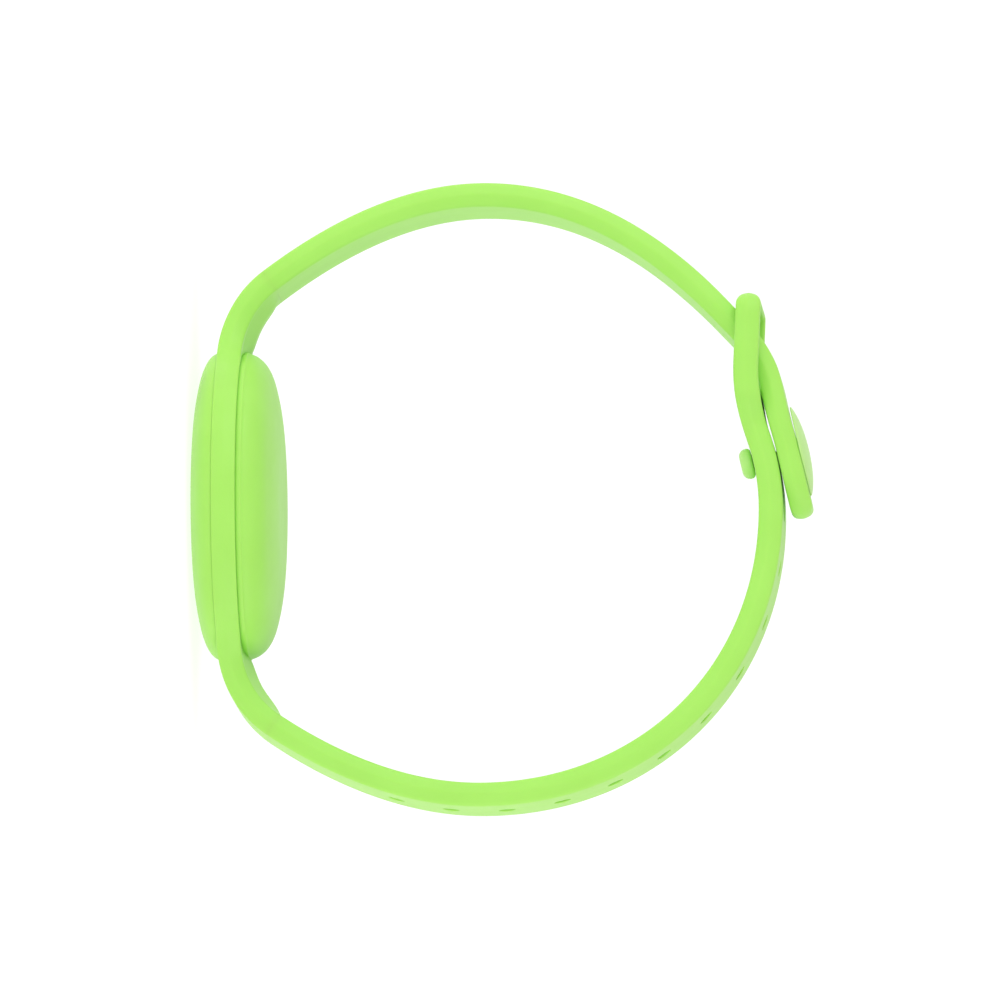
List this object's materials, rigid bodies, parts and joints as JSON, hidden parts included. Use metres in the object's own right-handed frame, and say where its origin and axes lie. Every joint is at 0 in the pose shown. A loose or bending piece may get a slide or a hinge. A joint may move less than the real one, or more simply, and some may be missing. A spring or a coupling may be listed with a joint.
{
  "type": "silicone tracker wristband",
  "caption": "Moulded silicone wristband with a round pod for a coin-sized tracker, a perforated strap and a stud-and-loop clasp.",
  "frame": {"origin": "centre of the pod's flat front face, which the band stands on", "axes": "+Z from the pod's front face towards the wrist and the clasp; +X from the stud strap towards the strap with the holes; Y across the band's width"},
  "size_m": [0.0755, 0.0378, 0.0747],
  "materials": {
    "silicone": "satin moulded silicone",
    "silicone_cap": "satin moulded silicone, slightly paler",
    "white_plastic": "polished",
    "black_plastic": "fine moulded",
    "steel": "brushed",
    "nickel": "nickel plated",
    "board": "solder mask",
    "copper": "enamelled copper wire",
    "seal": "matte"
  },
  "bodies": {
    "root": {"pod_front_shell": "silicone", "pod_ring": "silicone", "stud_strap": "silicone", "hole_strap": "silicone", "clasp_loop": "silicone"},
    "tail": {"strap_tail": "silicone", "stud_pin": "silicone_cap", "stud_cap": "silicone_cap"},
    "back_cover": {"pod_back_cover": "silicone"},
    "tracker": {"tracker_cap": "white_plastic", "tracker_base": "black_plastic", "speaker_magnet": "nickel", "voice_coil": "copper", "antenna_frame": "black_plastic", "circuit_board": "board", "battery_contact_1": "nickel", "battery_contact_2": "nickel", "battery_contact_3": "nickel", "coin_cell": "steel", "door_seal": "seal"},
    "door": {"battery_door": "steel"}
  },
  "joints": [
    {"name": "tail_peel", "type": "hinge", "parent": "root", "child": "tail", "pos_m": [-0.01578, 0, 0.06902], "axis": [0, -1, 0], "range_deg": [0, 40], "deforming": ["stud_pin"]},
    {"name": "cover_pull", "type": "slide", "parent": "root", "child": "back_cover", "axis": [0, 0, 1], "range_m": [0, 0.016]},
    {"name": "tracker_push", "type": "slide", "parent": "root", "child": "tracker", "axis": [0, 0, 1], "range_m": [0, 0.008]},
    {"name": "door_twist", "type": "hinge", "parent": "tracker", "child": "door", "pos_m": [0, 0, 0.009], "axis": [0, 0, 1], "range_deg": [0, 20]}
  ],
  "couplings": [
    {"joint": "tracker_push", "follows": "cover_pull", "ratio": 0.5}
  ]
}
